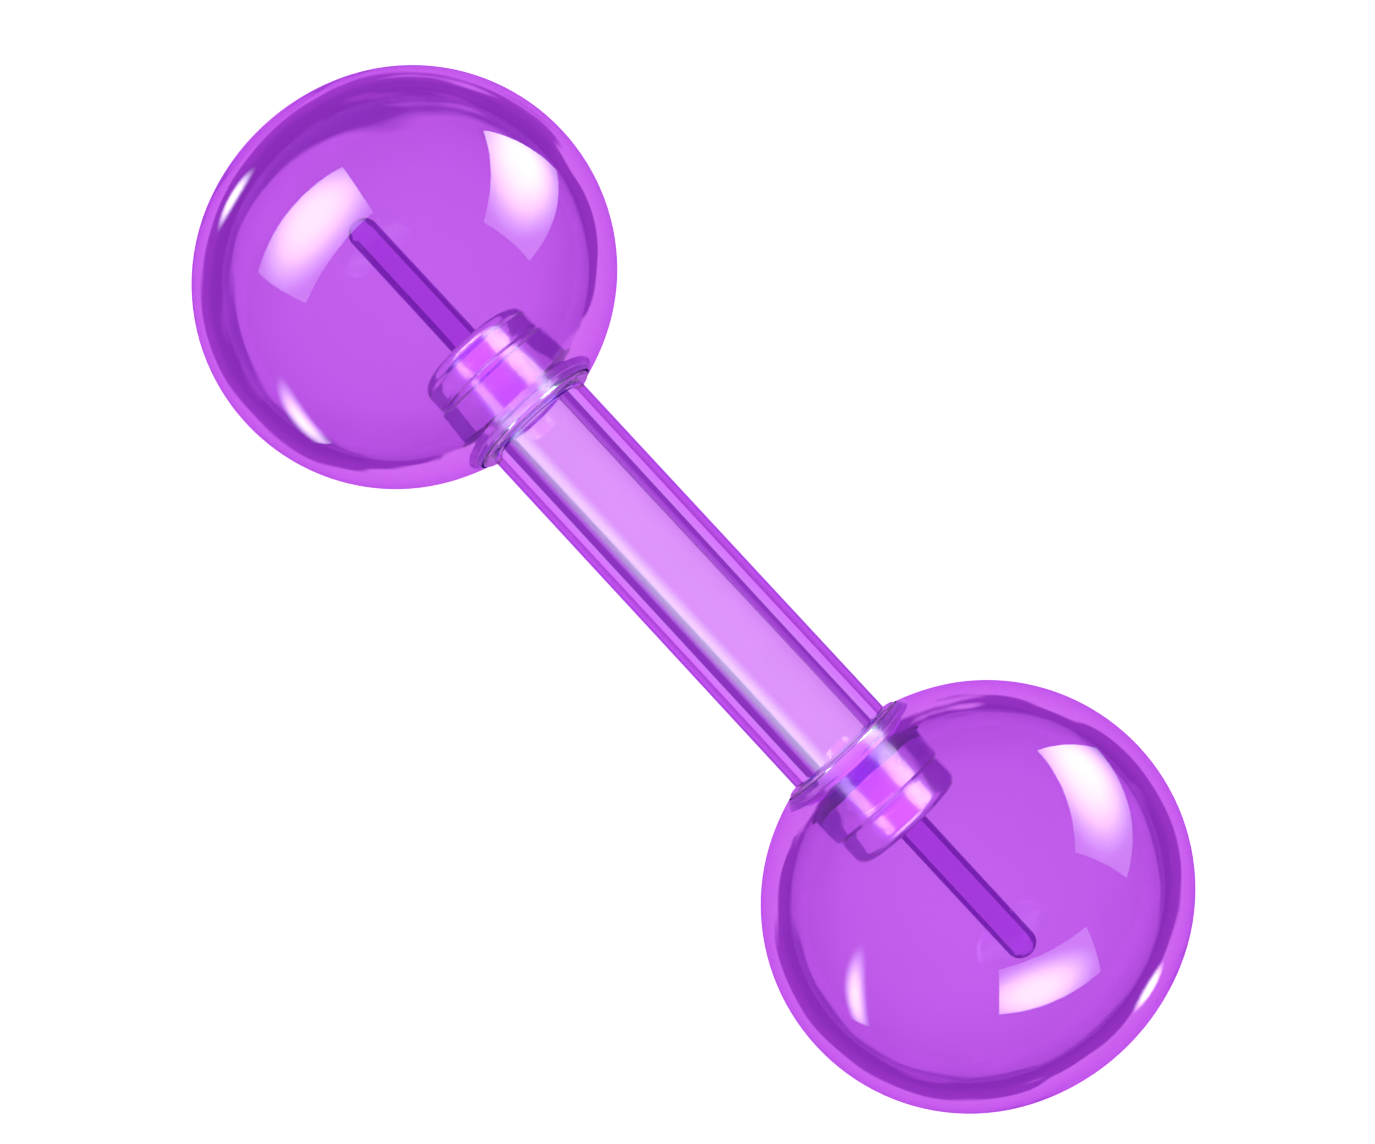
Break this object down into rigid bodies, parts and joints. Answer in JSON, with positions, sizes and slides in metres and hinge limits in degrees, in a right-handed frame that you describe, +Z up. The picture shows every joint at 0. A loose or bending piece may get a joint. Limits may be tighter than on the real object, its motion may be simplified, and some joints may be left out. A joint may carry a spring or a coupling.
{
  "type": "cartilage barbell",
  "caption": "Straight acrylic barbell for a cartilage piercing: a tube bar with a stepped collar, a thin pin and a push-on clear hollow ball at each end.",
  "frame": {"origin": "middle of the bar, on its axis", "axes": "+X along the bar towards the right ball, +Z up as it lies on its two balls"},
  "size_m": [0.0168, 0.0058, 0.0058],
  "materials": {
    "bar_acrylic": "polished, translucent light purple",
    "collar_acrylic": "polished, translucent purple",
    "pin_acrylic": "smooth deep purple",
    "ball_acrylic": "polished, clear purple"
  },
  "bodies": {
    "bar": {"bar": "bar_acrylic", "collar_left": "collar_acrylic", "collar_right": "collar_acrylic", "pin_left": "pin_acrylic", "pin_right": "pin_acrylic"},
    "ball_left": {"ball_left": "ball_acrylic"},
    "ball_right": {"ball_right": "ball_acrylic"}
  },
  "joints": [
    {"name": "ball_left_slide", "type": "slide", "parent": "bar", "child": "ball_left", "axis": [-1, 0, 0], "range_m": [0, 0.0045]},
    {"name": "ball_right_slide", "type": "slide", "parent": "bar", "child": "ball_right", "axis": [1, 0, 0], "range_m": [0, 0.0045]}
  ]
}
